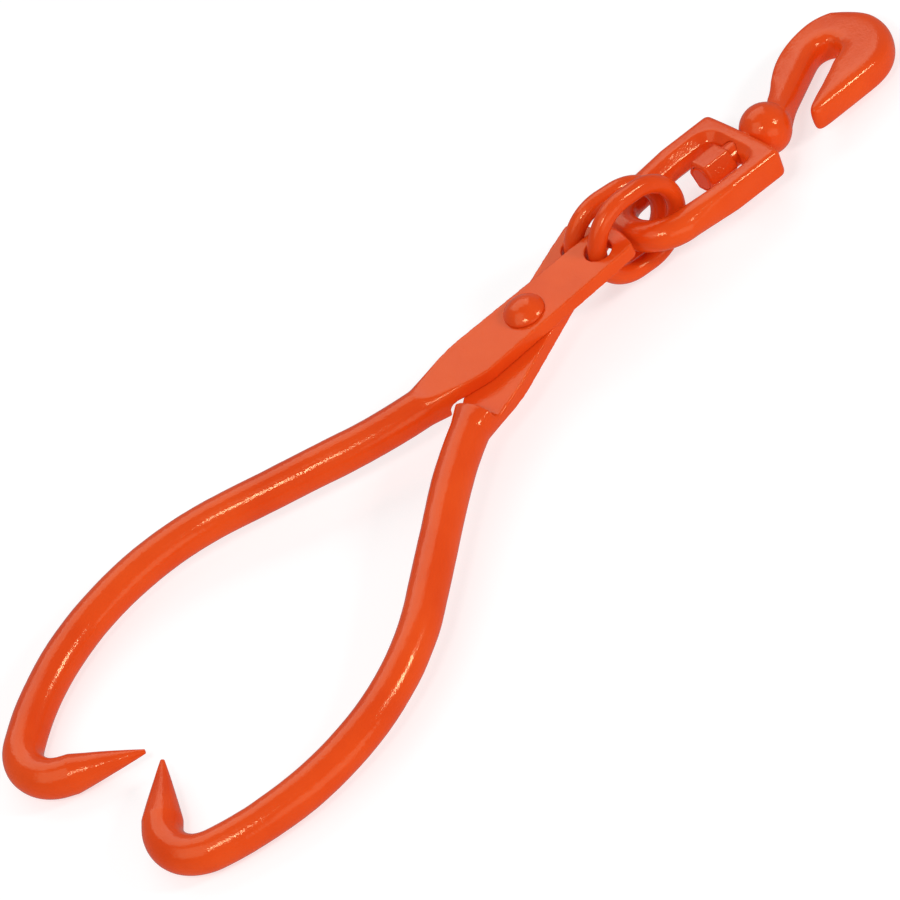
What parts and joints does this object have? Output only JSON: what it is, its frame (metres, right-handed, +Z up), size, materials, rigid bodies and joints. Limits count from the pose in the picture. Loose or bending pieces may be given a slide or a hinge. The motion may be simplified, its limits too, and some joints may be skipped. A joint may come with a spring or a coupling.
{
  "type": "log tongs",
  "caption": "Forged log tongs: bowed arms riveted scissor fashion, oval links from their flattened ends to a yoke, and a swivel grab hook for a chain.",
  "frame": {"origin": "middle of the tongs' bounding box, on the ground they lie on", "axes": "+X from the points to the grab hook, +Y towards the upper arm's bow, +Z up"},
  "size_m": [0.7324, 0.25, 0.0763],
  "materials": {
    "orange_paint": "glossy orange enamel over forged steel"
  },
  "bodies": {
    "front_arm": {"front_arm": "orange_paint", "pivot_rivet": "orange_paint"},
    "rear_arm": {"rear_arm": "orange_paint"},
    "rear_link": {"rear_link": "orange_paint"},
    "swivel_yoke": {"swivel_yoke": "orange_paint"},
    "hook": {"grab_hook": "orange_paint", "swivel_nut": "orange_paint"},
    "front_link": {"front_link": "orange_paint"}
  },
  "joints": [
    {"name": "arm_pivot", "type": "hinge", "parent": "front_arm", "child": "rear_arm", "pos_m": [0.05222, 0, 0.03783], "axis": [-0.0623, 0, 0.9981], "range_deg": [0, 50]},
    {"name": "rear_link_swing", "type": "hinge", "parent": "rear_arm", "child": "rear_link", "pos_m": [0.11062, 0.01237, 0.03636], "axis": [-0.0623, 0, 0.9981], "range_deg": [-46, 1]},
    {"name": "yoke_swing", "type": "hinge", "parent": "rear_link", "child": "swivel_yoke", "pos_m": [0.16641, -0.00863, 0.03093], "axis": [0.1008, 0.0531, 0.9935], "range_deg": [-1, 21]},
    {"name": "hook_swivel", "type": "hinge", "parent": "swivel_yoke", "child": "hook", "pos_m": [0.25429, -0.0178, 0.02251], "axis": [0.9901, -0.1032, -0.095], "continuous": true},
    {"name": "front_link_swing", "type": "hinge", "parent": "front_arm", "child": "front_link", "pos_m": [0.10998, -0.01237, 0.04654], "axis": [-0.0623, 0, 0.9981], "range_deg": [-1, 56]}
  ],
  "couplings": [
    {"joint": "rear_link_swing", "follows": "arm_pivot", "ratio": -0.9},
    {"joint": "yoke_swing", "follows": "arm_pivot", "ratio": 0.4},
    {"joint": "front_link_swing", "follows": "arm_pivot", "ratio": 1.1}
  ]
}
